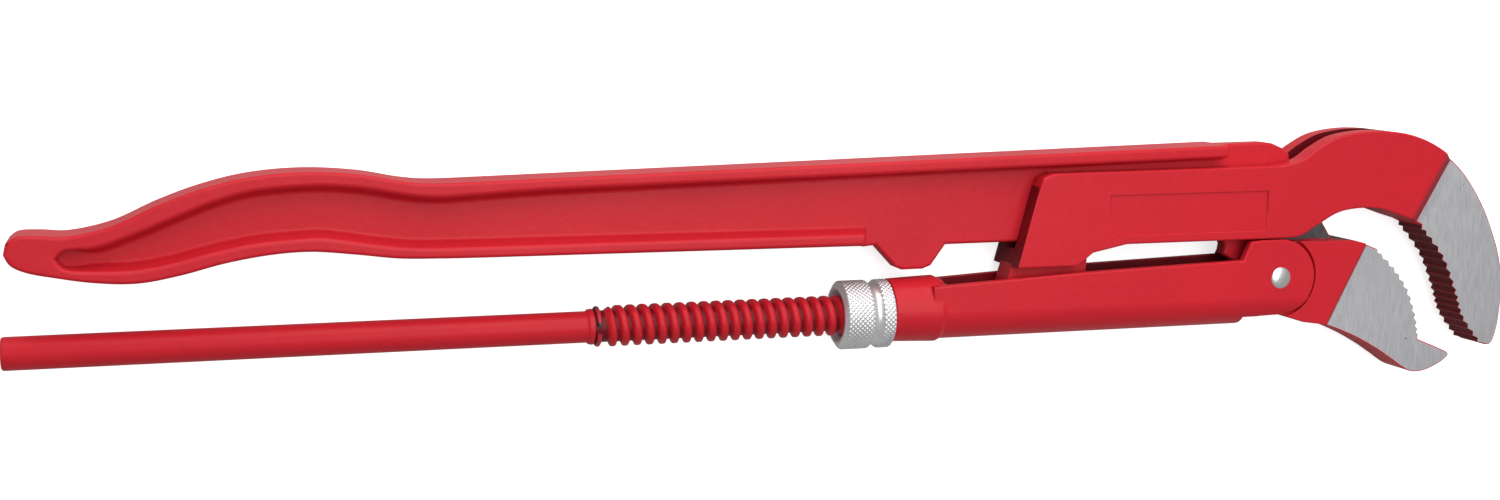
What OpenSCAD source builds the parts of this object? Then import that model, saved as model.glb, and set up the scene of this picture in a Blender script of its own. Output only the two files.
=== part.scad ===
// Swedish-pattern pipe wrench with S-shaped jaws, lying on its side.
// X runs along the spindle towards the jaws, Y across it towards the lever, Z through the thickness.
// Every outline is measured from the spindle's axis, or from the rivet where a piece turns about it.

/* [Reach] */
// Distance from the spindle's plain end to the rivet
rivet_x = 448; // [430:1:540]
// Height of the rivet above the spindle's axis
rivet_y = 8.2; // [7.5:0.1:9.5]
// Distance from the rivet back to the end of the grip
lever_l = 446; // [370:1:540]

/* [Spindle] */
// Diameter of the plain rod, which doubles as the second grip
rod_d = 10.8; // [9:0.1:13]
// Length of the plain rod
rod_l = 187.5; // [150:0.5:210]
// Length of the low collar where the thread runs out
collar_l = 2.2; // [1.8:0.1:2.8]
// Outside diameter of the screw thread
thread_d = 14.2; // [12:0.1:17.1]
// Depth of the thread
thread_h = 1.6; // [1.2:0.1:2]
// Pitch of the thread, one start, right-handed
pitch = 4.37; // [3.6:0.01:5.3]
// Diameter of the spigot that seats in the hook jaw's tail
spigot_d = 9; // [7.5:0.1:10.8]
// Length of that spigot
spigot_l = 14; // [11:0.5:17]
// Wire diameter of the stop ring at the thread's end
ring_wire_d = 1.6; // [1.2:0.1:2]

/* [Nut] */
// Distance from the rivet back to the nut's rear face
nut_back = 170.6; // [165:0.1:180]
// Length of the nut
nut_l = 18.8; // [16:0.1:22.6]
// Wall of the nut outside the thread
nut_wall = 5.1; // [4.6:0.1:6.2]
// Depth of the rolled groove that holds the nut on the neck
roll_h = 0.8; // [0.6:0.1:1]

/* [Channel] */
// Thickness of the channel's side walls
wall_t = 3; // [2.4:0.1:3.6]
// Thickness of the channel's floor
floor_t = 2.4; // [2:0.1:3]
// Radius of the two ears around the rivet
ear_r = 14.3; // [13.5:0.1:15.5]
// Diameter of the rivet's shank
rivet_d = 6.4; // [5:0.1:7.7]
// Height of the rivet's low domes
dome_h = 0.9; // [0.6:0.1:1.2]

/* [Lever] */
// Thickness of the lever's plate, which runs through the hook jaw
plate_t = 6.6; // [5.5:0.1:8]
// Width across the lever's ribs
rib_w = 20; // [16.6:0.1:24]
// Thickness of the ground part of both jaws
jaw_t = 15.2; // [12.6:0.1:18.3]
// Thickness of the painted shoulder of the lower jaw
shoulder_t = 19.5; // [17:0.1:23]

/* [Hook jaw] */
// Thickness across the two cheeks
cheek_w = 22; // [19:0.1:26]
// Thickness of the tail that runs in the channel
tail_t = 10.4; // [8.6:0.1:12.4]
// Depth of the blank panel sunk in each cheek
panel_h = 0.5; // [0.3:0.1:0.8]
// Depth of the hook jaw's teeth
hook_tooth_h = 1.1; // [0.8:0.1:1.4]
// Depth of the lower jaw's teeth
lower_tooth_h = 1; // [0.6:0.1:1.3]
// Length of the slope from the hook jaw's cheeks down to its ground face
hook_ramp_l = 4.5; // [2.5:0.1:6]
// Length of the slope from the lower jaw's shoulder down to its ground face
lower_ramp_l = 1.8; // [1:0.1:3]

/* [Travel and clearances] */
// How far the hook jaw opens from the pose shown
open_travel = 45; // [30:1:45]
// How far it closes
close_travel = 12; // [5:1:12]
// Running clearance of pins and journals, on the radius
run_gap = 0.06; // [0.02:0.01:0.1]
// Clearance between sliding faces
slide_gap = 0.4; // [0.3:0.05:0.6]
// Clearance of the nut's thread, on the radius and along the flanks
thread_gap = 0.3; // [0.25:0.05:0.35]

/* [Hidden] */

round_fn = 64;
thread_fn = 24;
over = 1;
// Steps between two points of a curved outline
curve_k = 8;

paint = [0.80, 0.16, 0.19];
bare = [0.66, 0.65, 0.67];
zinc = [0.82, 0.82, 0.84];

grip_x = rivet_x - lever_l;
tail_back = 108;
thread_r = thread_d / 2;
root_r = thread_r - thread_h;
spindle_tail_x = rivet_x - tail_back;
groove_l = ring_wire_d + 1.2;

// Inside width of the channel, and the sizes that follow from it
in_w = thread_d + 1.8;
channel_w = in_w + 2 * wall_t;
bore_r = thread_r + slide_gap;
neck_y = channel_w / 2 - bore_r - floor_t;
nut_x = rivet_x - nut_back;
nut_r = thread_r + nut_wall;
neck_x = nut_x + nut_l + slide_gap / 2;
journal_r = thread_r + 2.5;
journal_l = nut_l / 2;
roll_x = nut_x + nut_l * 0.66;
roll_half = 1.3;
roll_flat = 0.6;
nut_chamfer = 1.2;
nut_sink = 1.4;
end_chamfer = 0.6;
shank_r = root_r - 0.1;
neck_l = 17;
neck_flare = 0.9;
neck_foot = 5;
channel_x = neck_x + 12;
slot_x = neck_x + 20;
rivet_sink = 0.8;
rivet_head_r = rivet_d / 2 + rivet_sink;

hub_r = ear_r - 0.6;
hub_t = in_w - 2 * slide_gap;
shoulder_r = ear_r + 1.2;
floor_end = hub_r - 0.6;
slot_w = plate_t + 2 * slide_gap;
slot_end = 30 + close_travel;
slot_floor = 13.7;
underside = ear_r + slide_gap;
tail_foot = 7.4;
tail_front = 76.5;
boss_l = spigot_l + 4;
// Corner of the panel sunk in each cheek, from the rivet, and its size
panel_at = [-70, 18];
panel_size = [63.5, 14.6];
wall_top = tail_foot - slide_gap;

// A smooth curve through the points, with k steps between each two
function mix3(a, b, c, d, t) =
    0.5 * (2 * b + (c - a) * t + (2 * a - 5 * b + 4 * c - d) * t * t
           + (3 * b - a - 3 * c + d) * t * t * t);
function spline(p, k) = [
    for (i = [0 : len(p) - 2], s = [0 : k - 1])
        mix3(p[max(i - 1, 0)], p[i], p[i + 1], p[min(i + 2, len(p) - 1)], s / k),
    p[len(p) - 1]];
// Points moved to the rivet's frame
function at_rivet(p) = [for (q = p) q + [rivet_x, rivet_y]];
// Points moved to the end of the grip
function at_grip(p) = [for (q = p) q + [grip_x, 0]];
// A toothed edge: after each point a corner that stands h to the left of the way on
function saw(p, share, h) = [
    for (i = [0 : len(p) - 2])
        let (d = p[i + 1] - p[i], side = [-d[1], d[0]] / norm(d))
            each [p[i], p[i] + share * d + h * side],
    p[len(p) - 1]];

// The lever's outline in four runs: grip top, grip underside, and the edges of its sunk panel
grip_top = at_grip(spline([[1.4, 36], [4.6, 38.1], [11, 38.2], [20, 37.8], [33, 40.6], [47, 46.8],
    [61, 51.7], [76, 55], [93, 56.1], [110, 54.9], [124, 52.3], [134, 51.4], [150, 51.6]], curve_k));
grip_under = at_grip(spline([[150, 26.3], [136, 26.5], [122, 27], [108, 28.8], [94, 30.2],
    [81, 29.6], [67, 27.4], [53, 24], [40, 22], [27, 22.7], [14, 25], [7, 26.7], [2.6, 29],
    [0.6, 32.4]], curve_k));
sunk_top = at_grip(spline([[16, 30.6], [19, 33.2], [28, 33.8], [40, 37.8], [52, 42.6], [64, 47.2],
    [76, 50.3], [90, 51.4], [100, 51.4], [112, 50.2], [124, 47.9], [135, 46.7], [147, 47.2],
    [170, 48.3]], curve_k));
sunk_under = at_grip(spline([[170, 29.8], [146, 29.9], [128, 30.2], [116, 31.6], [99, 34.4],
    [90, 34.4], [76, 33.4], [62, 30.7], [50, 27.8], [39, 26.2], [28, 26.3], [19, 27.4],
    [16, 30.6]], curve_k));
rib_end = rivet_x - 22.4;
low_rib_end = rivet_x - 163;
sunk_right_top = 53.4;
sunk_right_under = 29.5;

// The plate beyond the grip: upper tip, front edge, neck, and the stop lug on the lower edge
plate_front = at_rivet([[-5, 50], [-1, 49.5], [3, 47.8], [6, 45.4], [6.4, 43.4], [22, 18.5],
    [25.6, 13]]);
plate_under = at_rivet([[-12, 4], [-19.8, 8.4], [-19.2, 12], [-20.6, 14.8], [-23.8, 16.2],
    [-130.6, 16], [-136, 8.6], [-139, 7.5], [-147, 7.5], [-149.6, 8.6], [-157, 16.6],
    [-163, 17.6]]);

// The lower jaw, measured from the rivet
lower_teeth = saw(spline([[43, 8.8], [50.7, 1.4], [57.1, -7.2], [61, -17], [62.6, -24.9]], 3),
    0.43, -lower_tooth_h);
lower_lip = spline([[62.4, -26.6], [67, -28.5], [72, -30.6], [76.3, -32.9], [74.5, -35.3],
    [70.6, -37.4], [66, -39], [61, -39.3], [56.5, -37.6], [51, -33.9], [44, -29.4],
    [34, -24.1], [22, -19.4], [11, -17.4]], curve_k);
lower_top = [[7.3, 13.2], [32, 12.7], [36, 11.6]];
lower_jaw = concat(lower_top, lower_teeth, lower_lip, [[4, -15], [0, -6]]);

// The hook jaw, measured from the rivet
hook_arch = spline([[2, underside], [8, underside + 0.7], [15, underside + 4.5],
    [23, underside + 8.7], [31, underside + 10.2], [40, underside + 10], [49, underside + 7.4],
    [59, underside + 3.9]], curve_k);
hook_teeth = saw(spline([[62, 17.2], [72, 5.4], [78.4, -8.2], [82.4, -18.8], [91, -29.4]], 4),
    0.36, -hook_tooth_h);
hook_back = spline([[91, -29.4], [93.4, -30.4], [96, -29], [98, -22], [98.9, -12], [98.7, -4.2],
    [96.8, 5.2], [93.5, 14], [89, 23.4], [82.6, 33], [76, 40.2], [67, 46.6], [58, 50.8],
    [48, 53.2], [35, 53.8], [22.4, 52], [13.6, 47.8], [6.5, 43.4], [-3, 41.6]], curve_k);
hook_shank = [[-93, 41], [-96.6, 39.6], [-98, 36.4], [-106, tail_foot], [-82.5, tail_foot],
    [-76.5, 12], [-63, underside]];
hook_outline = concat(hook_arch, hook_teeth, hook_back, hook_shank);
hook_ground = [[59, 18], [73.4, 42.6]];
lower_ground = [[22.6, -19.2], [38.4, 11.2]];

function low(p, i) = min([for (q = p) q[i]]);
function high(p, i) = max([for (q = p) q[i]]);
centre_x = (min(0, low(grip_under, 0)) + rivet_x + high(hook_outline, 0)) / 2;
centre_y = rivet_y + (low(lower_jaw, 1) + high(hook_outline, 1)) / 2;

module placed() {
    translate([-centre_x, -centre_y, nut_r]) children();
}

// A plate of thickness t about the middle plane
module slab(t) {
    translate([0, 0, -t / 2]) linear_extrude(t) children();
}

// Cuts both sides of its children down to thickness t beyond a line, with a slope of length run
module ground_beyond(line, t, full_t, run) {
    way = line[1] - line[0];
    drop = (full_t - t) / 2;
    difference() {
        children();
        for (s = [0, 1]) mirror([0, 0, s]) translate([line[0][0], line[0][1], t / 2])
            rotate(atan2(way[1], way[0])) {
                translate([-60, -120, 0]) cube([180, 120, drop + over]);
                translate([-60, 0, 0]) rotate([atan2(drop, run), 0, 0])
                    cube([180, run + drop, drop + over]);
            }
    }
}

module about_rivet() {
    translate([rivet_x, rivet_y]) children();
}

// A round shape about the spindle's axis: x is the way along it, y the radius
module turned(x, y = 0) {
    translate([x, y, 0]) rotate([90, 0, 90]) children();
}

// One-start right-hand thread from x0, with its flanks grown by gap
module screw(x0, turns, gap) {
    n = thread_fn;
    low_r = root_r + gap;
    high_r = thread_r + gap;
    flank = gap / pitch;
    steps = [[0, low_r], [0.2 - flank, low_r], [0.42 - flank, high_r], [0.78 + flank, high_r]];
    last = turns * n;
    rows = [for (m = [0 : last], s = steps)
        [s[1] * cos(360 * m / n), s[1] * sin(360 * m / n), pitch * (m / n + s[0])]];
    tip = len(rows);
    function v(m, s) = 4 * m + s;
    walls = [for (m = [0 : last - 1], s = [0 : 2])
        [v(m, s), v(m, s + 1), v(m + 1, s + 1), v(m + 1, s)]];
    roots = [for (m = [0 : last - n - 1])
        [v(m, 3), v(m + n, 0), v(m + n + 1, 0), v(m + 1, 3)]];
    start_cap = [for (m = [0 : n - 1]) [tip, v(m, 0), v(m + 1, 0)]];
    end_cap = [for (m = [last - n : last - 1]) [tip + 1, v(m + 1, 3), v(m, 3)]];
    start_side = [[tip, v(n, 0), v(0, 3), v(0, 2), v(0, 1), v(0, 0)]];
    end_side = [[tip + 1, v(last - n, 3), v(last, 0), v(last, 1), v(last, 2), v(last, 3)]];
    turned(x0) polyhedron(
        concat(rows, [[0, 0, pitch / 2], [0, 0, pitch * (turns + 0.5)]]),
        concat(walls, roots, start_cap, end_cap, start_side, end_side));
}

ring_x = rod_l + collar_l + groove_l / 2;
thread_x = ring_x + groove_l / 2;
thread_turns = floor((spindle_tail_x - thread_x) / pitch) - 1;

module threaded_spindle() {
    thread_end = thread_x + pitch * (thread_turns + 1);
    color(paint) placed() {
        turned(0) cylinder(h = end_chamfer, r1 = rod_d / 2 - end_chamfer, r2 = rod_d / 2,
            $fn = round_fn);
        turned(end_chamfer) cylinder(h = rod_l - end_chamfer, d = rod_d, $fn = round_fn);
        turned(rod_l) cylinder(h = collar_l, d1 = rod_d, d2 = rod_d + thread_h, $fn = round_fn);
        turned(rod_l) cylinder(h = thread_x - rod_l + pitch, r = shank_r, $fn = round_fn);
        screw(thread_x, thread_turns, 0);
        turned(thread_end - pitch) cylinder(h = spindle_tail_x - thread_end + pitch,
            r = shank_r, $fn = round_fn);
        turned(spindle_tail_x - over) cylinder(h = spigot_l + over, d = spigot_d, $fn = round_fn);
    }
}

module thread_stop_ring() {
    color([0.12, 0.12, 0.13]) placed()
        turned(ring_x) rotate(105) rotate_extrude(angle = 335, $fn = round_fn)
            translate([shank_r + ring_wire_d / 2, 0]) circle(d = ring_wire_d, $fn = 24);
}

module nut_blank() {
    roll = roll_x - nut_x;
    bottom_r = nut_r - roll_h - 0.4;
    rotate_extrude($fn = round_fn) polygon([[0, 0], [nut_r - nut_chamfer * 1.4, 0],
        [nut_r, nut_chamfer], [nut_r, roll - 2.2], [bottom_r, roll - 0.8], [bottom_r, roll + 0.8],
        [nut_r, roll + 2.2], [nut_r, nut_l - end_chamfer], [nut_r - end_chamfer, nut_l],
        [0, nut_l]]);
}

// The journal that the neck carries inside the nut, grown by gap: its groove grips the rolled bead
module journal(gap) {
    bead = roll_x - neck_x;
    rotate_extrude($fn = round_fn) polygon([[0, over], [journal_r + gap, over],
        [journal_r + gap, bead + roll_half - gap], [journal_r - roll_h + gap, bead + roll_flat - gap],
        [journal_r - roll_h + gap, bead - roll_flat + gap], [journal_r + gap, bead - roll_half + gap],
        [journal_r + gap, -journal_l - gap], [0, -journal_l - gap]]);
}

module adjusting_nut() {
    thread_back = nut_x - 2 * pitch;
    phase = (thread_back - thread_x) / pitch;
    color(zinc) placed() difference() {
        turned(nut_x) nut_blank();
        screw(thread_x + pitch * floor(phase), ceil((nut_l + 4 * pitch) / pitch), thread_gap);
        turned(nut_x - over) cylinder(h = nut_sink + over, r1 = thread_r + 0.8 + nut_sink + over,
            r2 = thread_r + 0.6, $fn = round_fn);
        turned(neck_x) journal(run_gap);
    }
}

// The side view of the channel: tapering walls, the two ears, and the stepped end of the floor
module channel_side() {
    about_rivet() circle(r = ear_r, $fn = round_fn);
    polygon(concat(
        [[neck_x + 14, -channel_w], [neck_x + 14, 10.2], [neck_x + 70, 13.2]],
        at_rivet([[-17, wall_top], [-15.8, wall_top], [-12.6, ear_r - 0.4], [-8, ear_r],
            [0, ear_r], [0, -ear_r], [-6.6, -ear_r - 0.2], [-9.6, -ear_r - 0.8],
            [-floor_end, -ear_r - 4.3]]),
        [[rivet_x - floor_end, -channel_w]]));
}

module channel_section(w, y) {
    translate([y, 0]) circle(d = w, $fn = round_fn);
    translate([y, -w / 2]) square([rivet_y + ear_r - y + over, w]);
}

module slide_channel() {
    length = rivet_x + ear_r - neck_x;
    flare_r = channel_w / 2 + neck_flare;
    color(paint) placed() difference() {
        union() {
            intersection() {
                slab(channel_w) channel_side();
                translate([channel_x, 0, 0]) rotate([0, 90, 0]) rotate(90) mirror([1, 0])
                    linear_extrude(length) mirror([1, 0]) channel_section(channel_w, neck_y);
            }
            turned(neck_x, neck_y) cylinder(h = neck_l, r1 = channel_w / 2 + 0.2, r2 = flare_r,
                $fn = round_fn);
            turned(neck_x + neck_l, neck_y) cylinder(h = neck_foot, r1 = flare_r,
                r2 = channel_w / 2 - 1.2, $fn = round_fn);
            turned(neck_x) journal(0);
        }
        turned(neck_x - journal_l - over) cylinder(h = length, r = bore_r, $fn = round_fn);
        translate([slot_x, 0, -in_w / 2]) cube([length, rivet_y + ear_r + over, in_w]);
        turned(slot_x, in_w / 2 - bore_r)
            cylinder(h = length, d = in_w, $fn = round_fn);
        about_rivet() translate([-floor_end - 0.4, -channel_w, -in_w / 2])
            cube([length, channel_w, in_w]);
        about_rivet() slab(channel_w + 2 * over) circle(d = rivet_d, $fn = round_fn);
        for (s = [-1, 1]) about_rivet() scale([1, 1, s])
            translate([0, 0, channel_w / 2 - rivet_sink])
            cylinder(h = rivet_sink + over, r1 = rivet_d / 2, r2 = rivet_head_r + over,
                $fn = round_fn);
    }
}

module pivot_rivet() {
    half = channel_w / 2;
    color(bare) placed() about_rivet() {
        cylinder(h = channel_w, d = rivet_d, center = true, $fn = round_fn);
        for (s = [0, 1]) mirror([0, 0, s]) rotate_extrude($fn = round_fn) polygon(concat(
            [[0, half - rivet_sink], [rivet_d / 2, half - rivet_sink], [rivet_head_r, half]],
            [for (a = [0 : 15 : 90]) [rivet_head_r * cos(a), half + dome_h * sin(a)]]));
    }
}

module lever_handle() {
    plate_right = concat(plate_front, at_rivet([[14, 0]]), plate_under);
    color(paint) placed() difference() {
        union() {
            slab(plate_t) polygon(concat(grip_top, plate_right, grip_under));
            slab(rib_w) difference() {
                polygon(concat(grip_top, [[rib_end, rivet_y + 49.7], [rib_end, 45],
                    [low_rib_end, 45], [low_rib_end, 25.8]], grip_under));
                polygon(concat(sunk_top, [[rib_end + over, sunk_right_top],
                    [rib_end + over, sunk_right_under]], sunk_under));
            }
            about_rivet() slab(hub_t) circle(r = hub_r, $fn = round_fn);
            about_rivet() slab(min(jaw_t, hub_t)) polygon(lower_jaw);
            about_rivet() ground_beyond(lower_ground, jaw_t, shoulder_t, lower_ramp_l)
                slab(shoulder_t) difference() {
                    polygon(lower_jaw);
                    circle(r = shoulder_r, $fn = round_fn);
                }
        }
        about_rivet() slab(rib_w) circle(r = rivet_d / 2 + run_gap, $fn = round_fn);
    }
}

module hook_jaw() {
    color(paint) placed() difference() {
        about_rivet() {
            ground_beyond(hook_ground, jaw_t, cheek_w, hook_ramp_l)
                slab(cheek_w) polygon(hook_outline);
            slab(tail_t) polygon([[-tail_back, tail_foot - 6], [-tail_back, -rivet_y - root_r],
                [-tail_front - 3.5, -rivet_y - root_r], [-tail_front, tail_foot],
                [-tail_front, slot_floor], [4 - tail_back, slot_floor]]);
            turned(-tail_back, -rivet_y) cylinder(h = boss_l, r = thread_r - 0.2, $fn = round_fn);
        }
        about_rivet() translate([-tail_back, slot_floor, -slot_w / 2])
            cube([tail_back + slot_end, 60, slot_w]);
        about_rivet() translate([-25 - open_travel, 0, -slot_w / 2])
            cube([25 + open_travel + slot_end, 60, slot_w]);
        for (s = [-1, 1]) about_rivet() translate(concat(panel_at, [s * cheek_w / 2 - panel_h]))
            cube(concat(panel_size, [2 * panel_h]));
        turned(spindle_tail_x) cylinder(h = spigot_l, d = spigot_d, $fn = round_fn);
    }
}

lever_handle();
hook_jaw();
threaded_spindle();
slide_channel();
adjusting_nut();
pivot_rivet();
thread_stop_ring();
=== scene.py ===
# %% [markdown]
# # A Swedish-pattern pipe wrench
# The wrench is three red powder-coated forgings, a red spindle with a coarse thread, a
# zinc-plated nut, a rivet and a wire ring. The exact shapes come from the frame, and this lesson
# dresses them: rounded forging edges, ground jaw faces, a rolled thread, a knurled nut and the
# finishes that each of them has.

# %% Load the frame
from math import atan2, cos, pi, radians, sin

import bmesh
import bpy
from mathutils import Matrix, Vector


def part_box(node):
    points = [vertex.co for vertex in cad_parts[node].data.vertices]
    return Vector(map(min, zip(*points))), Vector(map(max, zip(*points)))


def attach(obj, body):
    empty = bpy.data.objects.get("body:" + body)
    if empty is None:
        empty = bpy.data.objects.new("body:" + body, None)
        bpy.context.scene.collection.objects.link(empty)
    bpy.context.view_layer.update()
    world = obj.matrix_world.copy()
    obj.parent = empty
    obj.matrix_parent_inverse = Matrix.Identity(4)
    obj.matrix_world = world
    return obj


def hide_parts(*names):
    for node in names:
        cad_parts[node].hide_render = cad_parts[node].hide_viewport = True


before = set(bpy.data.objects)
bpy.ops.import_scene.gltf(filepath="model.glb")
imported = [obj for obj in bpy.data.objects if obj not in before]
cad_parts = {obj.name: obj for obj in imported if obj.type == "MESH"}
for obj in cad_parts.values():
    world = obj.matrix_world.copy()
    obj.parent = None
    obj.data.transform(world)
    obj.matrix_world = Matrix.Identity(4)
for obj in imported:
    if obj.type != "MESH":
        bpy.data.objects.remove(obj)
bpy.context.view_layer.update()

# %% [markdown]
# ## Where things are
# Every piece is turned or measured from the spindle, so the lesson counts millimetres from the
# rod's plain end, along the spindle and across it towards the lever. A helper turns those into
# metres in the shared frame.

# %% Points measured from the rod's plain end
MM = 0.001
spindle_low, spindle_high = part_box("threaded_spindle")
ROD_END = Vector((spindle_low.x, *((spindle_low + spindle_high) / 2).yz))
rivet_low, rivet_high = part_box("pivot_rivet")
RIVET = (rivet_low + rivet_high) / 2


def along(x, y=0.0, z=0.0):
    """A point x mm from the rod's plain end, y mm towards the lever and z mm up."""
    return ROD_END + Vector((x, y, z)) * MM


def from_rod(point):
    """The same three measures, in mm, of a point in the frame."""
    return (point - ROD_END) / MM


def from_rivet(point):
    """How far in mm a point lies from the rivet's middle."""
    return (point - RIVET) / MM


print("rivet at", [round(c, 2) for c in from_rod(RIVET)])

# %% [markdown]
# ## Small helpers for finishes
# A material here is a network of nodes. Small helpers keep the networks short: one adds a node
# and sets or links its inputs, three stand for a sum, a stretch and a mix, and two make a group
# with named sockets and place it in a material. An effect that is wanted in many finishes is
# built once as a group, so a change to it shows everywhere.


# %% Node helpers
def add(tree, kind, values=None, **settings):
    """A node of that kind. values sets its inputs by name or number; a socket is linked."""
    made = tree.nodes.new(kind)
    for key, value in settings.items():
        setattr(made, key, value)
    for key, value in (values or {}).items():
        if isinstance(value, bpy.types.NodeSocket):
            tree.links.new(value, made.inputs[key])
        else:
            made.inputs[key].default_value = value
    return made


def maths(tree, operation, a, b=0.0, clamp=False):
    """One sum, product or difference of two values or sockets."""
    return add(tree, "ShaderNodeMath", {0: a, 1: b}, operation=operation,
               use_clamp=clamp).outputs[0]


def remap(tree, value, low, high, new_low=0.0, new_high=1.0):
    """Stretches low to high onto new_low to new_high and holds it there at the ends."""
    return add(tree, "ShaderNodeMapRange", {
        "Value": value, "From Min": low, "From Max": high,
        "To Min": new_low, "To Max": new_high}).outputs["Result"]


def mix(tree, factor, a, b, blend="MIX"):
    """Two colours mixed by factor."""
    made = tree.nodes.new("ShaderNodeMix")
    made.data_type = "RGBA"
    made.blend_type = blend
    for socket, value in ((made.inputs[0], factor), (made.inputs[6], a), (made.inputs[7], b)):
        if isinstance(value, bpy.types.NodeSocket):
            tree.links.new(value, socket)
        else:
            socket.default_value = value
    return made.outputs[2]


def group(name, inputs, outputs):
    """An empty shader node group with float inputs and outputs of the kinds given."""
    tree = bpy.data.node_groups.new(name, "ShaderNodeTree")
    for label, value in inputs.items():
        tree.interface.new_socket(label, in_out="INPUT",
                                  socket_type="NodeSocketFloat").default_value = value
    for label in outputs:
        tree.interface.new_socket(label, in_out="OUTPUT", socket_type="NodeSocketFloat")
    entry = tree.nodes.new("NodeGroupInput")
    leave = tree.nodes.new("NodeGroupOutput")
    return tree, entry.outputs, leave.inputs


def use(tree, shared, values):
    """Places a group in a material's tree and returns its outputs."""
    made = tree.nodes.new("ShaderNodeGroup")
    made.node_tree = shared
    for label, value in values.items():
        if isinstance(value, bpy.types.NodeSocket):
            tree.links.new(value, made.inputs[label])
        else:
            made.inputs[label].default_value = value
    return made.outputs


# %% [markdown]
# ## Worn edges
# Rubbing takes the finish off the outermost edges first. The Bevel node gives the normal that a
# rounded edge would have, and where it differs from the true normal there is an edge. Broken up
# by noise, that makes a mask for thin paint and chips that follows any shape.

# %% Edge wear group
edge_wear, wear_in, wear_out = group(
    "edge_wear", {"Radius": 0.0006, "Amount": 0.5, "Patch Size": 300.0}, ["Mask"])
place = add(edge_wear, "ShaderNodeTexCoord").outputs["Object"]
rounded = add(edge_wear, "ShaderNodeBevel", {"Radius": wear_in["Radius"]}, samples=4)
true_normal = add(edge_wear, "ShaderNodeNewGeometry").outputs["Normal"]
agreement = add(edge_wear, "ShaderNodeVectorMath",
                {0: rounded.outputs[0], 1: true_normal}, operation="DOT_PRODUCT")
edge = remap(edge_wear, agreement.outputs["Value"], 0.97, 0.80)
patches = add(edge_wear, "ShaderNodeTexNoise", {
    "Vector": place, "Scale": wear_in["Patch Size"], "Detail": 5.0, "Roughness": 0.6})
torn = remap(edge_wear, patches.outputs["Fac"], 0.46, 0.62)
worn = maths(edge_wear, "MULTIPLY", maths(edge_wear, "MULTIPLY", edge, torn),
            wear_in["Amount"], clamp=True)
edge_wear.links.new(worn, wear_out["Mask"])
print("edge wear group has", len(edge_wear.nodes), "nodes")

# %% [markdown]
# ## Clouding
# No coat is even: it lies thicker in some places, and hands leave a faint film. Two noises of
# different size, added together, stand for both and change colour and gloss a little.

# %% Clouding group
clouding, cloud_in, cloud_out = group(
    "clouding", {"Broad": 18.0, "Fine": 160.0}, ["Cloud", "Grime"])
place = add(clouding, "ShaderNodeTexCoord").outputs["Object"]
broad = add(clouding, "ShaderNodeTexNoise", {
    "Vector": place, "Scale": cloud_in["Broad"], "Detail": 3.0, "Roughness": 0.5})
fine = add(clouding, "ShaderNodeTexNoise", {
    "Vector": place, "Scale": cloud_in["Fine"], "Detail": 6.0, "Roughness": 0.65})
both = maths(clouding, "ADD", maths(clouding, "MULTIPLY", broad.outputs["Fac"], 0.6),
            maths(clouding, "MULTIPLY", fine.outputs["Fac"], 0.4))
clouding.links.new(remap(clouding, both, 0.35, 0.65), cloud_out["Cloud"])
clouding.links.new(remap(clouding, fine.outputs["Fac"], 0.60, 0.74), cloud_out["Grime"])
print("clouding group has", len(clouding.nodes), "nodes")

# %% [markdown]
# ## Red powder coat
# The forgings are blasted, sprayed with powder and baked. The coat is satin, with a fine orange
# peel, and it hides the forging skin only in part, so a broader unevenness shows under it. At
# the edges it runs thin and looks darker, with a few chips down to dark steel. A second, darker
# coat is painted shade between teeth, in slots and in the thread's roots, where shade falls, and
# a third, darker red covers the slopes beside the ground faces.


# %% Powder coat
def powder_coat(name, colour, shade):
    """A satin coat. shade is how dark its clouds get."""
    material = bpy.data.materials.new(name)
    material.use_nodes = True
    tree = material.node_tree
    shader = tree.nodes["Principled BSDF"]
    place = add(tree, "ShaderNodeTexCoord").outputs["Object"]
    cloud = use(tree, clouding, {"Broad": 22.0, "Fine": 420.0})
    chips = use(tree, edge_wear, {"Radius": 0.00045, "Amount": 0.75, "Patch Size": 420.0})
    dark = tuple(c * shade for c in colour)
    coat = mix(tree, cloud["Cloud"], (*dark, 1), (*colour, 1))
    coat = mix(tree, maths(tree, "MULTIPLY", cloud["Grime"], 0.18), coat,
               (dark[0] * 0.45, dark[1], dark[2], 1))
    coat = mix(tree, chips["Mask"], coat, (0.075, 0.035, 0.035, 1))
    tree.links.new(coat, shader.inputs["Base Color"])
    gloss = remap(tree, cloud["Cloud"], 0.0, 1.0, 0.40, 0.33)
    gloss = maths(tree, "ADD", gloss, maths(tree, "MULTIPLY", chips["Mask"], 0.2))
    tree.links.new(gloss, shader.inputs["Roughness"])
    shader.inputs["Specular IOR Level"].default_value = 0.18
    peel = add(tree, "ShaderNodeTexNoise", {
        "Vector": place, "Scale": 1100.0, "Detail": 2.0, "Roughness": 0.4})
    skin = add(tree, "ShaderNodeTexNoise", {
        "Vector": place, "Scale": 240.0, "Detail": 4.0, "Roughness": 0.55})
    uneven = add(tree, "ShaderNodeBump", {
        "Height": skin.outputs["Fac"], "Strength": 0.55, "Distance": 0.00022})
    grain = add(tree, "ShaderNodeBump", {
        "Height": peel.outputs["Fac"], "Strength": 0.5, "Distance": 0.00005,
        "Normal": uneven.outputs[0]})
    tree.links.new(grain.outputs[0], shader.inputs["Normal"])
    return material


RED = (0.60, 0.016, 0.028)
SHADE_RED = (0.20, 0.006, 0.012)
SLOPE_RED = (0.36, 0.012, 0.022)
forging_red = powder_coat("forging_red", RED, 0.90)
# The darker coat is painted shade for teeth, slots, thread roots and the channel's inside.
painted_shade_red = powder_coat("painted_shade_red", SHADE_RED, 0.55)
slope_red = powder_coat("slope_red", SLOPE_RED, 0.85)
print(forging_red.name, "has", len(forging_red.node_tree.nodes), "nodes")

# %% [markdown]
# ## Ground steel
# After coating, both sides of the jaws are ground flat on a belt, so the faces are bare, with
# fine marks that run across the jaw. Long thin noise makes the marks: it is stretched by a
# Mapping node. A few pits stay where the forging was low.

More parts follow.
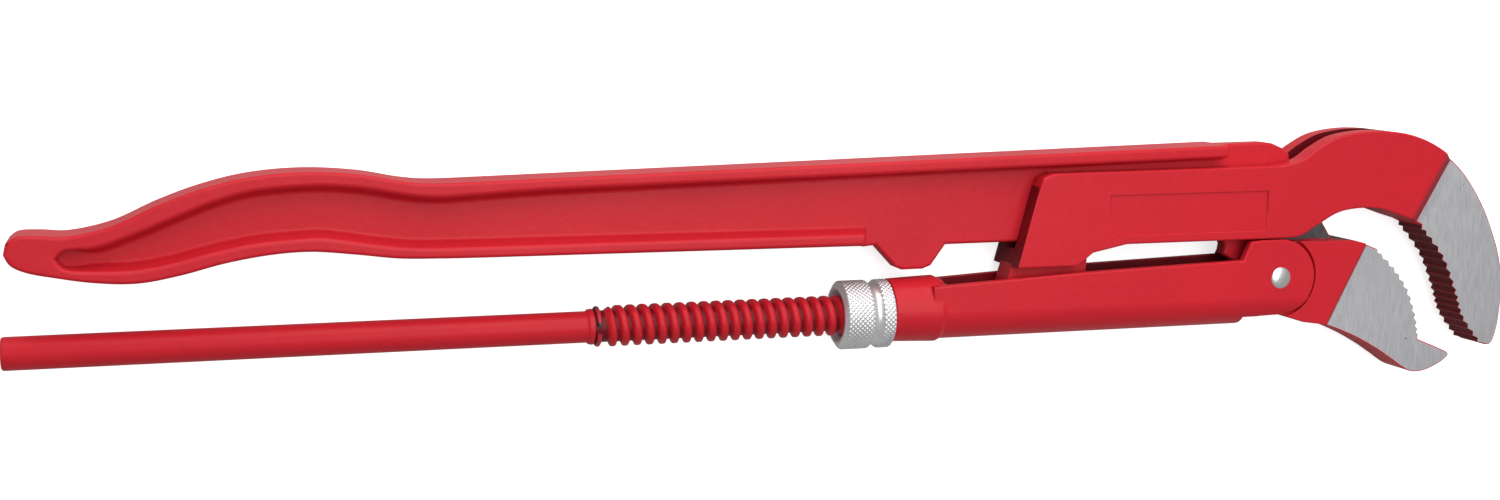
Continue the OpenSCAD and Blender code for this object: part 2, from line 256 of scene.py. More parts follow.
# %% Ground faces
ground_steel = bpy.data.materials.new("ground_steel")
ground_steel.use_nodes = True
tree = ground_steel.node_tree
shader = tree.nodes["Principled BSDF"]
place = add(tree, "ShaderNodeTexCoord").outputs["Object"]
lie = add(tree, "ShaderNodeMapping", {
    "Vector": place, "Rotation": (0, 0, radians(-14)), "Scale": (3600.0, 150.0, 400.0)})
marks = add(tree, "ShaderNodeTexNoise", {
    "Vector": lie.outputs[0], "Scale": 1.0, "Detail": 4.0, "Roughness": 0.6})
coarse_lie = add(tree, "ShaderNodeMapping", {
    "Vector": place, "Rotation": (0, 0, radians(-9)), "Scale": (900.0, 60.0, 400.0)})
coarse = add(tree, "ShaderNodeTexNoise", {
    "Vector": coarse_lie.outputs[0], "Scale": 1.0, "Detail": 3.0, "Roughness": 0.5})
cloud = use(tree, clouding, {"Broad": 60.0, "Fine": 700.0})
pits = add(tree, "ShaderNodeTexVoronoi", {"Vector": place, "Scale": 130.0, "Randomness": 1.0})
pit = remap(tree, pits.outputs["Distance"], 0.055, 0.035)
steel = mix(tree, marks.outputs["Fac"], (0.54, 0.535, 0.56, 1), (0.74, 0.73, 0.76, 1))
steel = mix(tree, maths(tree, "MULTIPLY", remap(tree, coarse.outputs["Fac"], 0.4, 0.7), 0.3),
            steel, (0.82, 0.81, 0.83, 1))
steel = mix(tree, maths(tree, "MULTIPLY", cloud["Cloud"], 0.25), steel, (0.58, 0.57, 0.59, 1))
steel = mix(tree, pit, steel, (0.05, 0.03, 0.03, 1))
tree.links.new(steel, shader.inputs["Base Color"])
tree.links.new(maths(tree, "SUBTRACT", 1.0, pit), shader.inputs["Metallic"])
tree.links.new(remap(tree, marks.outputs["Fac"], 0.3, 0.7, 0.36, 0.52),
               shader.inputs["Roughness"])
height = maths(tree, "SUBTRACT", marks.outputs["Fac"], maths(tree, "MULTIPLY", pit, 2.0))
bump = add(tree, "ShaderNodeBump", {"Height": height, "Strength": 0.35, "Distance": 0.00004})
tree.links.new(bump.outputs[0], shader.inputs["Normal"])
print(ground_steel.name, "has", len(tree.nodes), "nodes")

# %% [markdown]
# ## Plated and bare steel
# The nut is bright zinc, cloudy and soft in its gloss. The rivet's head is peened bright, and
# the lever's neck is bare where the cheeks rub on it, its steel made nearly black as painted
# shade because it lies between them. They differ only in how dark, rough and worn they are, so
# one helper makes all three.


# %% Plated and bare steel
def bare_metal(name, dark, light, rough, fine, relief, rubbed, metallic=1.0):
    """Steel or plate from dark to light, with fine noise of that scale and relief in metres."""
    material = bpy.data.materials.new(name)
    material.use_nodes = True
    tree = material.node_tree
    shader = tree.nodes["Principled BSDF"]
    cloud = use(tree, clouding, {"Broad": 90.0, "Fine": fine})
    rub = use(tree, edge_wear, {"Radius": 0.00015, "Amount": rubbed, "Patch Size": 900.0})
    colour = mix(tree, cloud["Cloud"], (*dark, 1), (*light, 1))
    colour = mix(tree, rub["Mask"], colour, tuple(min(1.0, c * 1.25) for c in light) + (1,))
    colour = mix(tree, maths(tree, "MULTIPLY", cloud["Grime"], 0.35), colour,
                 tuple(c * 0.5 for c in dark) + (1,))
    tree.links.new(colour, shader.inputs["Base Color"])
    shader.inputs["Metallic"].default_value = metallic
    tree.links.new(remap(tree, cloud["Cloud"], 0.0, 1.0, rough + 0.08, rough - 0.05),
                   shader.inputs["Roughness"])
    bump = add(tree, "ShaderNodeBump", {
        "Height": cloud["Cloud"], "Strength": 0.4, "Distance": relief})
    tree.links.new(bump.outputs[0], shader.inputs["Normal"])
    return material


zinc_plate = bare_metal("zinc_plate", (0.64, 0.64, 0.66), (0.82, 0.82, 0.83), 0.34, 900.0,
                        0.00002, 0.6, 0.72)
peened_steel = bare_metal("peened_steel", (0.66, 0.66, 0.68), (0.90, 0.90, 0.91), 0.30, 700.0,
                          0.00006, 0.3)
# The neck's steel is nearly black: painted shade, as it lies between the cheeks.
bare_steel_painted_shade = bare_metal("bare_steel_painted_shade", (0.07, 0.065, 0.07), (0.15, 0.145, 0.155), 0.42,
                          500.0, 0.00003, 0.4)
print("bare metals:", zinc_plate.name, peened_steel.name, bare_steel_painted_shade.name)

# %% [markdown]
# ## Sprayed wire
# The stop ring is black spring wire that was already in its groove when the spindle was
# sprayed, so it carries patches of red. A noise with a steep edge gives patches with a rim,
# and the same noise lifts them a little.

# %% Sprayed spring wire
sprayed_wire = bpy.data.materials.new("sprayed_wire")
sprayed_wire.use_nodes = True
tree = sprayed_wire.node_tree
shader = tree.nodes["Principled BSDF"]
place = add(tree, "ShaderNodeTexCoord").outputs["Object"]
spray = add(tree, "ShaderNodeTexNoise", {
    "Vector": place, "Scale": 170.0, "Detail": 4.0, "Roughness": 0.6})
cloud = use(tree, clouding, {"Broad": 90.0, "Fine": 900.0})
red_share = remap(tree, spray.outputs["Fac"], 0.41, 0.47)
wire = mix(tree, cloud["Cloud"], (0.010, 0.010, 0.011, 1), (0.03, 0.03, 0.032, 1))
tree.links.new(mix(tree, red_share, wire, (RED[0] * 0.8, RED[1], RED[2], 1)),
               shader.inputs["Base Color"])
tree.links.new(remap(tree, cloud["Cloud"], 0.0, 1.0, 0.35, 0.5), shader.inputs["Roughness"])
bump = add(tree, "ShaderNodeBump", {
    "Height": red_share, "Strength": 0.5, "Distance": 0.00006})
tree.links.new(bump.outputs[0], shader.inputs["Normal"])
print(sprayed_wire.name, "has", len(tree.nodes), "nodes")

# %% [markdown]
# ## From the exact forgings to worn ones
# The frame's shapes are exact and sharp, in loose triangles. A forging is never sharp: dies
# leave every edge round. A copy is merged, its flat faces are joined, and each sharp edge gets
# a weight that says how round it is. The Bevel modifier then rounds all of them at once, which
# keeps the corners clean where a wide and a narrow edge meet. Weighted normals after it keep the
# large faces flat in the light, so only the narrow rounds shade.


# %% Forging helpers
WIDEST = 2.4  # mm, the width of an edge with the weight 1
SHARP = radians(24)


def merged_copy(node_name, shortest=0.004):
    """The node's mesh as one closed shell, with flat areas joined into single faces. Points
    nearer than shortest mm become one."""
    bm = bmesh.new()
    bm.from_mesh(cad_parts[node_name].data)
    bmesh.ops.remove_doubles(bm, verts=bm.verts, dist=0.000004)
    bmesh.ops.remove_doubles(bm, verts=bm.verts, dist=shortest * MM)
    bmesh.ops.dissolve_limit(bm, angle_limit=radians(0.4), use_dissolve_boundaries=False,
                             verts=bm.verts, edges=bm.edges)
    return bm


def sharp_edges(bm):
    """The edges that a die or a belt leaves: each with the middle of the edge, in mm."""
    for e in bm.edges:
        if len(e.link_faces) == 2 and e.calc_face_angle(0.0) > SHARP:
            yield e, from_rivet((e.verts[0].co + e.verts[1].co) / 2)


def is_level(face, z):
    """Whether a face is flat and z mm above or below the middle plane."""
    return abs(face.normal.z) > 0.999 and abs(
        abs(from_rivet(face.calc_center_median()).z) - z) < 0.03


def finish_piece(name, bm, body, node_name, materials, segments=3, rounded=True):
    """Makes the object, rounds its weighted edges and hangs it on its body."""
    mesh = bpy.data.meshes.new(name)
    for face in bm.faces:
        face.smooth = True
    bm.to_mesh(mesh)
    bm.free()
    for material in materials:
        mesh.materials.append(material)
    piece = bpy.data.objects.new(name, mesh)
    bpy.context.scene.collection.objects.link(piece)
    if rounded:
        bevel = piece.modifiers.new("rounding", "BEVEL")
        bevel.limit_method = "WEIGHT"
        bevel.width = WIDEST * MM
        bevel.segments = segments
        bevel.use_clamp_overlap = False
        bevel.material = 0
        evened = piece.modifiers.new("flat faces", "WEIGHTED_NORMAL")
        evened.keep_sharp = True
        evened.weight = 100
    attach(piece, body)
    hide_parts(node_name)
    print(name, "has", len(mesh.polygons), "faces")
    return piece


# %% [markdown]
# ## The lever
# The grip is a thin web with a rib all round. The die needs draft, so the inner walls of the
# ribs lean outwards: the foot of each wall is moved in over the web. At the web's narrow tip
# there is no room for that, and where the rib passes over the hook jaw it would rub, so the
# walls lean less in both places.


# %% Lean the inner walls of the ribs
RIB_TOP, WEB = 10.0, 3.3  # mm from the middle plane
DRAFT = 2.0  # mm that a wall's foot is moved
OVER_JAW, DRAFT_OVER_JAW = -40.0, 0.3  # mm from the rivet, and the share of the draft there
TIP_FADE = 16.0  # mm over which the draft grows from the web's tip
lever_low, lever_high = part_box("lever_handle")
WEB_TIP = (lever_low.x - RIVET.x) / MM + 15.0


def away_from_tip(x):
    """0 at the narrow tip of the sunk web, rising smoothly to 1 a little further on."""
    t = min(1.0, max(0.0, (x - WEB_TIP) / TIP_FADE))
    return t * t * (3 - 2 * t)


def is_rib_wall(face):
    """Whether a face stands upright on the web and reaches the top of the rib."""
    heights = [abs(from_rivet(v.co).z) for v in face.verts]
    return (abs(face.normal.z) < 0.2 and max(heights) > RIB_TOP - 0.1
            and abs(min(heights) - WEB) < 0.1)


def lean_walls(bm):
    """Moves the foot of every wall of the ribs away from the wall and returns how many."""
    shifts = {}
    for face in filter(is_rib_wall, bm.faces):
        for v in face.verts:
            if abs(from_rivet(v.co).z) < WEB + 0.1:
                shifts[v] = shifts.get(v, Vector()) + face.normal
    for v, push in shifts.items():
        push.z = 0
        if push.length > 0.3:
            x = from_rivet(v.co).x
            share = DRAFT_OVER_JAW if x > OVER_JAW else 1.0
            v.co += push.normalized() * DRAFT * share * away_from_tip(x) * MM
    return len(shifts)


lever = merged_copy("lever_handle", 0.25)

# %% [markdown]
# The neck between plate and jaw turns between the cheeks, so it stays bare. It has no edge
# where the coat ends, so two straight cuts across the plate's flat sides give it one.

# %% Mark off the bare neck
NECK_BACK, NECK_TOP = -6.0, 38.0  # mm from the rivet, along and across


def cut_flat_sides(bm, faces, point, normal):
    """Cuts faces along a plane through a point given in mm from the rivet."""
    bmesh.ops.bisect_plane(bm, geom=faces + list({e for f in faces for e in f.edges}),
                           plane_co=RIVET + Vector(point) * MM, plane_no=normal, dist=1e-7)


flat_sides = [f for f in lever.faces if is_level(f, WEB)]
cut_flat_sides(lever, flat_sides, (NECK_BACK, 0, 0), (1, 0, 0))
near_jaw = [f for f in lever.faces if is_level(f, WEB)
            and from_rivet(f.calc_center_median()).x > NECK_BACK]
cut_flat_sides(lever, near_jaw, (0, NECK_TOP, 0), (0, 1, 0))
print("faces on the plate's flat sides:", sum(is_level(f, WEB) for f in lever.faces))
print("wall feet moved:", lean_walls(lever))

# %% [markdown]
# ## How round the lever's edges are
# The grip is what the hand feels, so its edges are rounded most. The lower jaw is ground on
# both sides, and its edges stay narrow and its teeth crisp. A weight only changes where the
# outline turns: a change halfway along a smooth edge would twist the face beside it. Faces at
# the ground thickness are bare steel, and the slope that leads up to them gets a darker red.

# %% Weights of the lever
JAW_FACE = 7.6  # mm from the middle plane
HUB_R = 15.0
TEETH_BACK, LIP_Y = 41.0, -25.0  # where the lower teeth begin and the lip takes over
LOWER_TEETH = [(43, 8.8), (50.7, 1.4), (57.1, -7.2), (61, -17), (62.6, -24.9)]
FILLET = 1.0  # mm, at the foot of the ribs
weights = lever.edges.layers.float.new("bevel_weight_edge")


def to_line(p, points):
    """How far in mm p is from a run of points, seen from above."""
    nearest = 1e9
    for a, b in zip(points, points[1:]):
        a, b, q = Vector(a), Vector(b), p.xy
        share = max(0.0, min(1.0, (q - a).dot(b - a) / (b - a).length_squared))
        nearest = min(nearest, (a + (b - a) * share - q).length)
    return nearest


def lever_rounding(p):
    """How round in mm an edge of the lever is."""
    on_jaw_face = abs(abs(p.z) - JAW_FACE) < 0.05
    if p.xy.length < HUB_R + 0.3 and abs(p.z) < JAW_FACE + 0.1:
        return 0.0
    if on_jaw_face and to_line(p, LOWER_TEETH) < 1.8 and p.y > LIP_Y and p.x > TEETH_BACK:
        return 0.08
    if on_jaw_face and p.x > 20:
        return 0.4
    if abs(p.z) < 0.1 or p.xy.length < HUB_R + 1:
        return 0.3
    return 0.4 if p.x > 0 else 1.2


for e, p in sharp_edges(lever):
    if e.is_convex:
        e[weights] = lever_rounding(p) / WIDEST
    elif abs(abs(p.z) - WEB) < 0.1 and p.x < -20:
        e[weights] = FILLET * away_from_tip(p.x) / WIDEST
    if e[weights] == 0:
        e.smooth = False
print("rounded edges of the lever:", sum(e[weights] > 0 for e in lever.edges))

# %% Finishes of the lever
LEVER_FINISHES = [forging_red, ground_steel, bare_steel_painted_shade, slope_red, painted_shade_red]


def is_slope(face):
    """Whether a face of a jaw leads up from the ground face to the full thickness."""
    return 0.3 < abs(face.normal.z) < 0.97 and (
        abs(from_rivet(face.calc_center_median()).z) > JAW_FACE)


def finish_with(face, material, finishes):
    """Gives a face one of its piece's finishes."""
    face.material_index = finishes.index(material)


for face in lever.faces:
    p = from_rivet(face.calc_center_median())
    if is_level(face, JAW_FACE) and p.x > 20:
        finish_with(face, ground_steel, LEVER_FINISHES)
    # The neck is bare steel, darkened as painted shade.
    if abs(p.z) < WEB + 0.1 and p.x > NECK_BACK and 12 < p.y < NECK_TOP:
        finish_with(face, bare_steel_painted_shade, LEVER_FINISHES)
    if is_slope(face) and p.x > 20:
        finish_with(face, slope_red, LEVER_FINISHES)
    # The hub's upright faces get the darker coat as painted shade.
    if abs(face.normal.z) < 0.1 and p.xy.length < HUB_R - 0.5 and p.x < 3:
        finish_with(face, painted_shade_red, LEVER_FINISHES)
finish_piece("lever", lever, "lever", "lever_handle", LEVER_FINISHES)

# %% [markdown]
# ## The hook jaw
# Two cheeks run over the lever and join above the hook. The hook is ground on both sides up to
# a slope, which stays red, as do the teeth that run across the whole thickness. The exact shape
# has a few very short edges beside the corner of that slope. A rounding wider than an edge folds
# the faces beside it, so those edges are dissolved first.

# %% Clear the slope's corner
SLOPE_CORNER, CROWDED = Vector((69.3, 45.2)), 2.2  # mm from the rivet, and how far round it
ACROSS_THE_JAW = 18.0  # mm, longer than any upright edge of one cheek
hook = merged_copy("hook_jaw", 0.25)
crowded = []
for e in hook.edges:
    a, b = (from_rivet(v.co) for v in e.verts)
    upright = (a - b).xy.length < 0.02 and abs(a.z - b.z) > ACROSS_THE_JAW
    if upright and (a.xy - SLOPE_CORNER).length < CROWDED:
        crowded.append(e)
print("edges too near the slope's corner:", len(crowded))
bmesh.ops.dissolve_edges(hook, edges=crowded, use_verts=True)

# %% Weights of the hook jaw
CHEEK = 11.0  # mm from the middle plane
HOOK_TIP, TAIL = 91.0, -98.5  # mm from the rivet
HOOK_TEETH = [(62, 17.2), (72, 5.4), (78.4, -8.2), (82.4, -18.8), (HOOK_TIP, -29.4)]
weights = hook.edges.layers.float.new("bevel_weight_edge")


def is_panel_edge(p):
    """Whether a point lies on the rim of the blank panel that is sunk in each cheek."""
    return CHEEK - 0.8 < abs(p.z) and 17 < p.y < 33.5 and -71 < p.x < -6


def hook_rounding(p):
    """How round in mm an edge of the hook jaw is. It only changes where the outline turns."""
    if to_line(p, HOOK_TEETH) < 1.4 and p.x < HOOK_TIP:
        return 0.1
    if abs(abs(p.z) - JAW_FACE) < 0.05 and p.x > 50:
        return 0.45
    if is_panel_edge(p):
        return 0.3
    if abs(p.z) < 5.5 or p.x < TAIL:
        return 0.0
    return 0.8


for e, p in sharp_edges(hook):
    if e.is_convex:
        e[weights] = hook_rounding(p) / WIDEST
    if e[weights] == 0:
        e.smooth = False
print("rounded edges of the hook jaw:", sum(e[weights] > 0 for e in hook.edges))

# %% Finishes of the hook jaw
HOOK_FINISHES = [forging_red, ground_steel, painted_shade_red, slope_red]
for face in hook.faces:
    p = from_rivet(face.calc_center_median())
    if is_level(face, JAW_FACE) and p.x > 50:
        finish_with(face, ground_steel, HOOK_FINISHES)
    if is_slope(face) and p.x > 50:
        finish_with(face, slope_red, HOOK_FINISHES)
    # The slot and the faces between the teeth get the darker coat as painted shade.
    in_slot = abs(p.z) < 4.5 and p.x < 45 and p.y > 13
    on_teeth = abs(p.z) < 0.5 and to_line(p, HOOK_TEETH) < 1.4
    if in_slot or on_teeth:
        finish_with(face, painted_shade_red, HOOK_FINISHES)
finish_piece("hook_jaw_forging", hook, "jaw_and_spindle", "hook_jaw", HOOK_FINISHES)

# %% [markdown]
# ## The slide channel
# The channel is a forging too, but its walls are thin, so its edges are rounded less. Its neck
# is turned, and stays a true round. The inside, where the hook jaw's tail slides, gets a darker
# coat as painted shade.

# %% Weights of the channel
NECK_X, NECK_L, NECK_RIM_R = -151.6, 30.0, 10.5  # mm from the rivet, length, least rim radius
TOP_OF_WALLS, WALL_FACE = -7.2, 10.9
channel = merged_copy("slide_channel")
weights = channel.edges.layers.float.new("bevel_weight_edge")


def from_neck_axis(p):
    """How far in mm a point given from the rivet lies from the spindle's axis."""
    return Vector((p.y + (RIVET.y - ROD_END.y) / MM, p.z)).length


def channel_rounding(p):
    """How round in mm an edge of the channel is; edges hidden in the nut stay sharp."""
    if p.x < NECK_X + NECK_L:
        on_rim = abs(p.x - NECK_X) < 0.1 and from_neck_axis(p) > NECK_RIM_R
        return 0.5 if on_rim else 0.0
    if p.xy.length < 5 or p.y < TOP_OF_WALLS:
        return 0.0
    return 0.7 if abs(p.z) > WALL_FACE else 0.25


for e, p in sharp_edges(channel):
    if e.is_convex:
        e[weights] = channel_rounding(p) / WIDEST
    if e[weights] == 0:
        e.smooth = False
print("rounded edges of the channel:", sum(e[weights] > 0 for e in channel.edges))

# %% Finishes of the channel
CHANNEL_FINISHES = [forging_red, painted_shade_red]
INNER_WALL = 8.0  # mm from the middle plane
# The inside of the run and the inner walls get the darker coat as painted shade.
for face in channel.faces:
    p = from_rivet(face.calc_center_median())
    in_run = (abs(p.z) < INNER_WALL + 0.3 and p.x > NECK_X + 22
              and from_neck_axis(p) < INNER_WALL + 0.4)
    on_wall = abs(abs(p.z) - INNER_WALL) < 0.1 and abs(face.normal.z) > 0.9
    if in_run or on_wall:
        finish_with(face, painted_shade_red, CHANNEL_FINISHES)
finish_piece("slide_channel_forging", channel, "channel", "slide_channel",
             CHANNEL_FINISHES)

# %% [markdown]
# ## Turned pieces
# The rod, the nut and the rivet are round, so each is drawn as half of its section and spun
# about its axis. The helper takes the section as distances along the axis and from it. A full
# spin joins its last row to its first, but every step makes its own copy of a point that lies
# on the axis, so those are merged before the normals are made to point outwards.


# %% Lathe helper
def lathe(bm, section, steps, origin, axis, side):
    """Spins a section, given in mm, about an axis and closes its seam."""
    points = [bm.verts.new(origin + (axis * x + side * r) * MM) for x, r in section]
    edges = [bm.edges.new(pair) for pair in zip(points, points[1:])]
    bmesh.ops.spin(bm, geom=points + edges, cent=origin, axis=axis, angle=2 * pi, steps=steps,
                   use_merge=True)
    bmesh.ops.remove_doubles(bm, verts=bm.verts, dist=0.000002)
    bmesh.ops.dissolve_degenerate(bm, edges=bm.edges, dist=0.000001)
    bmesh.ops.recalc_face_normals(bm, faces=bm.faces)


def crisp(bm, angle=SHARP):
    """Keeps the edges between faces that meet at more than this angle sharp."""
    for e in bm.edges:
        e.smooth = e.calc_face_angle(0.0) < angle


ALONG = Vector((1, 0, 0))
ACROSS = Vector((0, 1, 0))
UP = Vector((0, 0, 1))

# %% [markdown]
# ## The spindle
# One bar: a plain rod that is held in the hand, a low collar, and a coarse rolled thread with
# round crests. A rolled thread is pressed, not cut, so its crests stand above the core and its
# flanks run smoothly into it.

# %% Rod and core
ROD_R, ROD_L, COLLAR_L = 5.4, 187.5, 2.2
THREAD_R, ROOT_R, PITCH = 7.1, 5.45, 4.37
SPIGOT_R, SPIGOT_L = 4.5, 14.0  # the end that is fixed in the hook jaw's tail
spindle_l = from_rod(spindle_high).x
thread_x = ROD_L + COLLAR_L + 2.8
thread_end = 336.0
spindle = bmesh.new()
lathe(spindle, [
    (0, 0), (0, ROD_R - 0.7), (0.15, ROD_R - 0.4), (0.5, ROD_R - 0.1), (0.9, ROD_R),
    (ROD_L - 0.4, ROD_R), (ROD_L, ROD_R + 0.15), (ROD_L + 0.5, ROD_R + 0.6),
    (ROD_L + 1.7, ROD_R + 0.8), (ROD_L + COLLAR_L - 0.1, ROD_R + 0.7),
    (ROD_L + COLLAR_L, ROOT_R), (thread_end, ROOT_R),
    (spindle_l - SPIGOT_L, ROOT_R - 0.1), (spindle_l - SPIGOT_L, SPIGOT_R),
    (spindle_l, SPIGOT_R), (spindle_l, 0)], 72, ROD_END, ALONG, ACROSS)
crisp(spindle)
print("rod and core:", len(spindle.faces), "faces")

# %% [markdown]
# The thread is one ridge. Its section is a single face that spins about the axis while it moves
# on by a pitch each turn. Its foot lies a little below the core's skin, so that the two meet
# without a gap. At both ends the ridge sinks into the core over less than a turn.

# %% Thread ridge
SPIN_STEPS = 48  # per turn
RIDGE_FOOT = ROOT_R - 0.2
FADE, FADE_BEFORE = PITCH / 1.6, 1.4  # how long the fade is, and where it starts
turns = int((thread_end - thread_x) / PITCH) - 1
ridge_section = [(0.0, ROOT_R - 0.3), (0.12, ROOT_R + 0.05), (0.42, ROOT_R + 0.55),
                 (0.72, THREAD_R - 0.42), (1.05, THREAD_R - 0.1), (1.50, THREAD_R),
                 (2.20, THREAD_R), (2.65, THREAD_R - 0.1), (2.98, THREAD_R - 0.42),
                 (3.28, ROOT_R + 0.55), (3.58, ROOT_R + 0.05), (3.70, ROOT_R - 0.3)]
ridge = spindle.faces.new([spindle.verts.new(along(thread_x + x, r))
                           for x, r in ridge_section])
bmesh.ops.spin(spindle, geom=[ridge], cent=ROD_END, axis=ALONG,
               dvec=ALONG * PITCH * MM / SPIN_STEPS, angle=2 * pi * turns,
               steps=SPIN_STEPS * turns)


def axis_distance(point):
    """How far in mm along the spindle a point of the frame lies, and how far from its axis."""
    x, y, z = from_rod(point)
    return x, (y * y + z * z) ** 0.5


first_x = thread_x + 1.7
last_x = first_x + turns * PITCH
for v in spindle.verts:
    x, radius = axis_distance(v.co)
    rise = min(x - first_x + FADE_BEFORE, last_x + FADE_BEFORE - x) / FADE
    if radius > ROOT_R and thread_x < x < thread_end and rise < 1.0:
        faded = RIDGE_FOOT + (radius - RIDGE_FOOT) * max(0.0, rise)
        v.co.yz = ROD_END.yz + (v.co.yz - ROD_END.yz) * (faded / radius)
bmesh.ops.recalc_face_normals(spindle, faces=spindle.faces)

# %% Finishes of the spindle
SPINDLE_FINISHES = [forging_red, painted_shade_red]
# The core between the thread's turns gets the darker coat as painted shade.
for face in spindle.faces:
    x, radius = axis_distance(face.calc_center_median())
    if thread_x < x < thread_end and radius < ROOT_R + 0.02:
        finish_with(face, painted_shade_red, SPINDLE_FINISHES)
finish_piece("spindle", spindle, "jaw_and_spindle", "threaded_spindle",
             SPINDLE_FINISHES, rounded=False)
print("thread turns:", turns)

# %% [markdown]
# ## The stop ring
# A ring of spring wire sits in the groove before the thread and stops the nut from running
# off. It is a wire's round section spun most of the way round. The spin starts from a filled
# circle, so both cut ends of the wire are closed and show in the gap.

# %% Stop ring
WIRE_R = 0.8
RING_GAP = radians(25)
GAP_AT = radians(105)
ring_low, ring_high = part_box("thread_stop_ring")
ring_x = from_rod((ring_low + ring_high) / 2).x
ring = bmesh.new()
wire = bmesh.ops.create_circle(ring, cap_ends=True, radius=WIRE_R * MM, segments=16)
for v in wire["verts"]:
    v.co = along(ring_x + v.co.x / MM, ROOT_R - 0.05 + WIRE_R + v.co.y / MM)
bmesh.ops.rotate(ring, verts=ring.verts, cent=ROD_END,
                 matrix=Matrix.Rotation(GAP_AT, 3, "X"))
bmesh.ops.spin(ring, geom=ring.faces[:], cent=ROD_END, axis=ALONG, angle=2 * pi - RING_GAP,
               steps=72)
bmesh.ops.recalc_face_normals(ring, faces=ring.faces)
crisp(ring, radians(50))
finish_piece("stop_ring", ring, "jaw_and_spindle", "thread_stop_ring",
             [sprayed_wire], rounded=False)

# %% [markdown]
# ## The adjusting nut
# The nut is knurled in two bands, with a rolled groove between them. Rolling the groove presses
# a bead inwards, which runs in the neck's groove and holds the nut on the channel. The bands
# are drawn with a point every fraction of a millimetre, because the knurl needs a fine grid.

# %% Nut blank
nut_low, nut_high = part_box("adjusting_nut")
NUT_X, NUT_L = from_rod(nut_low).x, (nut_high.x - nut_low.x) / MM
NUT_R = (nut_high.y - nut_low.y) / 2 / MM
NECK_BORE, BEAD_BORE, THREAD_BORE = 9.66, 8.86, 7.45
DIAMONDS, CELLS = 44, 8  # diamonds round the nut, and grid cells in each
cell = 2 * pi * NUT_R / DIAMONDS / CELLS
roll = NUT_L * 0.66
journal = NUT_L - 9.4


def band(x0, x1):
    """Points of a straight run, one grid cell apart."""
    count = max(1, round((x1 - x0) / cell))
    return [(x0 + (x1 - x0) * i / count, NUT_R) for i in range(count + 1)]


outside = [(0, NUT_R - 1.9), (0.15, NUT_R - 1.65), (0.9, NUT_R - 0.55)] + band(1.2, roll - 2.1)
outside += [(roll - 1.7, NUT_R - 0.5), (roll - 1.0, NUT_R - 1.05), (roll, NUT_R - 1.2),
            (roll + 1.0, NUT_R - 1.05), (roll + 1.7, NUT_R - 0.5)]
outside += band(roll + 2.1, NUT_L - 0.5) + [(NUT_L - 0.15, NUT_R - 0.45), (NUT_L, NUT_R - 0.9)]
inside = [(NUT_L, NECK_BORE), (roll + 1.3, NECK_BORE), (roll + 0.6, BEAD_BORE),
          (roll - 0.6, BEAD_BORE), (roll - 1.3, NECK_BORE), (journal, NECK_BORE),
          (journal, THREAD_BORE), (1.4, THREAD_BORE), (1.2, 7.7), (0.2, 8.9), (0, 9.2),
          (0, NUT_R - 1.9)]
nut = bmesh.new()
lathe(nut, outside + inside, DIAMONDS * CELLS, along(NUT_X), ALONG, ACROSS)
print("nut blank:", len(nut.faces), "faces")

# %% [markdown]
# Knurling wheels press two sets of slanting grooves, one to the left and one to the right, and
# what stays between them are small diamonds. Each point of the bands is lowered by how near it
# is to a groove of either set, so the diamonds are real shape and catch the light.

# %% Press the knurl
KNURL_H = 0.42
FLANK = 1.7  # how steeply a diamond rises; above 1 it has a small flat on top


def knurl_depth(x, turn):
    """How deep in mm the knurl is, x mm along the nut and turn diamonds round it."""
    way = x / (cell * CELLS)
    left, right = (turn + way) % 1.0, (turn - way) % 1.0
    peak = 1.0 - max(abs(2 * left - 1.0), abs(2 * right - 1.0))
    return KNURL_H * (1.0 - min(1.0, FLANK * peak))


for v in nut.verts:
    x, radius = axis_distance(v.co)
    x -= NUT_X
    on_band = 1.0 < x < roll - 2.0 or roll + 2.0 < x < NUT_L - 0.4
    if radius > NUT_R - 0.05 and on_band:
        off_axis = v.co.yz - ROD_END.yz
        turn = atan2(off_axis.y, off_axis.x) / (2 * pi) * DIAMONDS
        v.co.yz = ROD_END.yz + off_axis * ((radius - knurl_depth(x, turn)) / radius)
crisp(nut, radians(60))
finish_piece("adjusting_nut_knurled", nut, "nut", "adjusting_nut", [zinc_plate],
             rounded=False)

# %% [markdown]
# ## The rivet
# The rivet is peened over in a countersunk hole on both sides, so its head is a low dome, a bit
# flat in the middle where the hammer struck. The section is drawn for one half of the rivet,
# and the same points with the other sign make the far half.

# %% Rivet
RIVET_L = (rivet_high.z - rivet_low.z) / MM
HEAD_R = (rivet_high.x - rivet_low.x) / 2 / MM
SHANK_R, DOME_H, DOME_SINK = 3.2, 0.855, 0.02
dome = [(RIVET_L / 2 - DOME_H * (1 - cos(a)) ** 0.9 - DOME_SINK, HEAD_R * sin(a))
        for a in [radians(d) for d in range(0, 91, 9)]]
dome += [(RIVET_L / 2 - 1.7, SHANK_R)]
rivet = bmesh.new()
lathe(rivet, dome + [(-x, r) for x, r in reversed(dome)], 64, RIVET, UP, ALONG)
crisp(rivet, radians(50))
finish_piece("rivet", rivet, "channel", "pivot_rivet", [peened_steel],
             rounded=False)

# %% [markdown]
# ## Camera, floor and light
# The wrench lies flat and is seen from above, from over the rod. The camera is tilted towards
# the jaws, so they look a little smaller and the insides of the ribs show.

# %% Camera
scene = bpy.context.scene
camera_data = bpy.data.cameras.new("camera")
camera_data.lens = 48
camera_data.sensor_width = 36
camera_data.sensor_fit = "HORIZONTAL"
camera = bpy.data.objects.new("camera", camera_data)
camera.location = ROD_END + Vector((0.0522, 0.1169, 0.6610))
camera.rotation_euler = (radians(-7.69), radians(-16.30), radians(0.14))
scene.collection.objects.link(camera)
scene.camera = camera

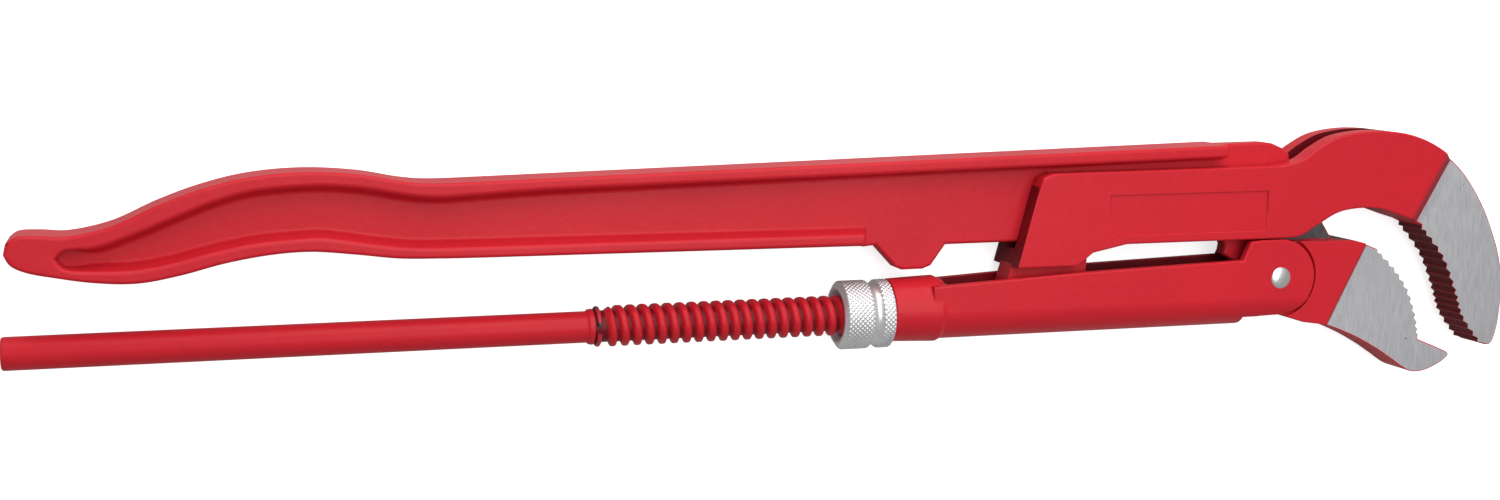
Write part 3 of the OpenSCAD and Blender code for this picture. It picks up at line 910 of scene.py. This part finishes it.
# %% [markdown]
# The floor is white paper. It shines a little where the camera looks at it straight, so hardly
# a shadow stays, but gives back only a middling grey to the wrench, whose red would else turn
# pale. A Light Path node tells the two cases apart.

# %% Floor
FLOOR_GAP = 0.0006
floor_mesh = bpy.data.meshes.new("floor")
bm = bmesh.new()
bmesh.ops.create_grid(bm, x_segments=1, y_segments=1, size=4.0)
bm.to_mesh(floor_mesh)
bm.free()
floor = bpy.data.objects.new("floor", floor_mesh)
floor.location.z = -FLOOR_GAP
scene.collection.objects.link(floor)
paper = bpy.data.materials.new("white_paper")
paper.use_nodes = True
tree = paper.node_tree
shader = tree.nodes["Principled BSDF"]
seen = add(tree, "ShaderNodeLightPath").outputs["Is Camera Ray"]
tree.links.new(mix(tree, seen, (0.52, 0.50, 0.50, 1), (0.92, 0.92, 0.92, 1)),
               shader.inputs["Base Color"])
shader.inputs["Roughness"].default_value = 0.9
shader.inputs["Emission Color"].default_value = (1, 1, 1, 1)
tree.links.new(maths(tree, "MULTIPLY", seen, 0.72), shader.inputs["Emission Strength"])
floor_mesh.materials.append(paper)
print("floor:", floor.name, "with", paper.name)

# %% [markdown]
# Two large soft lights, one over the wrench and one from beyond the lever, and a bright room
# leave almost no shadow, which is how such tools are shown on a plain page.


# %% Lights
def softbox(name, at, aim, size, power):
    """A square light at a point, turned to another."""
    data = bpy.data.lights.new(name, "AREA")
    data.size = size
    data.energy = power
    lamp = bpy.data.objects.new(name, data)
    lamp.location = at
    lamp.rotation_euler = (Vector(aim) - Vector(at)).to_track_quat("-Z", "Y").to_euler()
    scene.collection.objects.link(lamp)


softbox("overhead", (0.15, 0.35, 1.2), (0, 0, 0), 1.1, 10)
softbox("beyond_lever", (0.0, 1.1, 0.45), (0, 0, 0), 1.2, 11)
world = bpy.data.worlds.new("room")
world.use_nodes = True
world.node_tree.nodes["Background"].inputs["Color"].default_value = (1, 1, 1, 1)
world.node_tree.nodes["Background"].inputs["Strength"].default_value = 0.34
scene.world = world
scene.view_settings.view_transform = "Standard"
